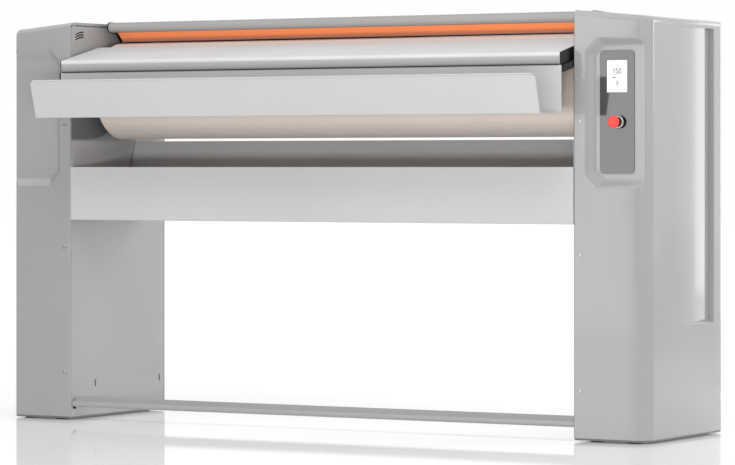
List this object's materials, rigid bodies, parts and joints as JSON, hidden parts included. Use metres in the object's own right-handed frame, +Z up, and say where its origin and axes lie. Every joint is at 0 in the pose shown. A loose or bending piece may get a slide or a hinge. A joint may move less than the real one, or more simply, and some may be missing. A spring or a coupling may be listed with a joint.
{
  "type": "flatwork ironer",
  "caption": "Free-standing roller ironer: padded roll against a heated chest, feed board and troughs between two cabinets, foot bar, display and emergency stop.",
  "frame": {"origin": "centre of the bounding box on the floor", "axes": "+X along the roll towards the cabinet with the controls, +Y from the feed side to the back, +Z up"},
  "size_m": [1.905, 0.6983, 1.0707],
  "materials": {
    "cover_grey": "smooth moulded covers",
    "panel_grey": "smooth satin paint",
    "frame_grey": "plain paint",
    "trough_grey": "smooth satin paint",
    "hood_grey": "smooth satin paint",
    "bar_grey": "smooth satin paint",
    "guard_orange": "satin paint",
    "black_paint": "matte paint",
    "motor_grey": "plain paint",
    "motor_black": "plain paint",
    "board_aluminium": "satin anodised",
    "pulley_aluminium": "turned",
    "screw_steel": "turned",
    "roll_steel": "turned",
    "polished_steel": "polished face",
    "element_steel": "heat-tinted sheath",
    "chest_steel": "plain sheet",
    "duct_steel": "galvanised sheet",
    "spring_steel": "plain wire",
    "bearing_iron": "painted casting",
    "foot_rubber": "matte",
    "belt_rubber": "matte",
    "padding_cloth": "woven ironing cloth",
    "insulation_wool": "mineral wool",
    "black_plastic": "fine grain",
    "control_grey": "glossy overlay",
    "display_white": "smooth lit screen",
    "stop_red": "smooth"
  },
  "bodies": {
    "machine": {"frame_left": "frame_grey", "frame_right": "frame_grey", "inner_panel_left": "panel_grey", "inner_panel_right": "panel_grey", "cover_left": "cover_grey", "cover_right": "cover_grey", "cover_screws": "screw_steel", "feet": "foot_rubber", "rear_beam": "frame_grey", "collecting_trough": "trough_grey", "feed_board": "board_aluminium", "feed_board_caps": "black_plastic", "feed_brackets": "black_paint", "feed_trough": "trough_grey", "bearing_left": "bearing_iron", "bearing_right": "bearing_iron", "drive_belt": "belt_rubber", "gear_motor": "motor_grey", "motor_bracket": "frame_grey", "chest_pivots": "roll_steel", "chest_springs": "spring_steel", "chest_actuator": "motor_grey", "top_cover": "hood_grey", "rear_cover": "hood_grey", "hood_end_left": "black_plastic", "hood_end_right": "black_plastic", "hood_studs": "screw_steel", "guard_switch": "black_plastic", "foot_bar_springs": "spring_steel", "foot_bar_switch": "black_plastic", "control_plate": "control_grey", "touch_display": "display_white", "stop_collar": "black_plastic", "stop_contact_block": "black_plastic", "control_box": "trough_grey", "cable_gland": "black_plastic", "fan_housing": "duct_steel", "fan_motor": "motor_black", "exhaust_spigot": "duct_steel"},
    "roll": {"roll_tube": "roll_steel", "roll_padding": "padding_cloth", "roll_end_discs": "roll_steel", "roll_shaft_left": "roll_steel", "roll_shaft_right": "roll_steel", "roll_pulley": "pulley_aluminium"},
    "motor_rotor": {"motor_pulley": "pulley_aluminium"},
    "chest": {"chest_shoe": "polished_steel", "heating_elements": "element_steel", "chest_insulation": "insulation_wool", "chest_frame": "chest_steel", "chest_arm_left": "frame_grey", "chest_arm_right": "frame_grey", "thermostat": "black_plastic"},
    "actuator_rod": {"actuator_rod": "roll_steel"},
    "finger_guard": {"finger_guard": "guard_orange"},
    "foot_bar": {"foot_bar": "bar_grey", "foot_bar_arms": "frame_grey"},
    "stop_plunger": {"stop_stem": "black_plastic"},
    "stop_head": {"stop_button": "stop_red"},
    "impeller": {"fan_impeller": "pulley_aluminium"}
  },
  "joints": [
    {"name": "roll_spin", "type": "hinge", "parent": "machine", "child": "roll", "pos_m": [0, 0.05385, 0.884], "axis": [-1, 0, 0], "continuous": true},
    {"name": "motor_spin", "type": "hinge", "parent": "machine", "child": "motor_rotor", "pos_m": [0.832, 0.01385, 0.56], "axis": [-1, 0, 0], "continuous": true},
    {"name": "chest_swing", "type": "hinge", "parent": "machine", "child": "chest", "pos_m": [0, 0.13385, 0.65], "axis": [-1, 0, 0], "range_deg": [0, 5], "stiffness_Nm_per_rad": 600, "springref_deg": -8.59, "deforming": ["chest_springs"]},
    {"name": "actuator_slide", "type": "slide", "parent": "machine", "child": "actuator_rod", "axis": [0, -1, 0], "range_m": [0, 0.0088]},
    {"name": "finger_guard_swing", "type": "hinge", "parent": "machine", "child": "finger_guard", "pos_m": [0, 0.02885, 1.0484], "axis": [1, 0, 0], "range_deg": [0, 15]},
    {"name": "foot_bar_press", "type": "hinge", "parent": "machine", "child": "foot_bar", "pos_m": [0, 0.02885, 0.047], "axis": [1, 0, 0], "range_deg": [0, 3.3], "stiffness_Nm_per_rad": 200, "springref_deg": -4.58, "deforming": ["foot_bar_springs"]},
    {"name": "stop_press", "type": "slide", "parent": "machine", "child": "stop_plunger", "axis": [0, 1, 0], "range_m": [0, 0.004], "stiffness_N_per_m": 1500, "springref_m": -0.002},
    {"name": "stop_twist", "type": "hinge", "parent": "stop_plunger", "child": "stop_head", "pos_m": [0.875, -0.15115, 0.788], "axis": [0, 1, 0], "range_deg": [0, 30], "stiffness_Nm_per_rad": 0.1, "springref_deg": -5.73},
    {"name": "fan_spin", "type": "hinge", "parent": "machine", "child": "impeller", "pos_m": [-0.8525, 0.09885, 0.115], "axis": [1, 0, 0], "continuous": true}
  ],
  "couplings": [
    {"joint": "motor_spin", "follows": "roll_spin", "ratio": 2},
    {"joint": "actuator_slide", "follows": "chest_swing", "m_per_rad": 0.1}
  ]
}
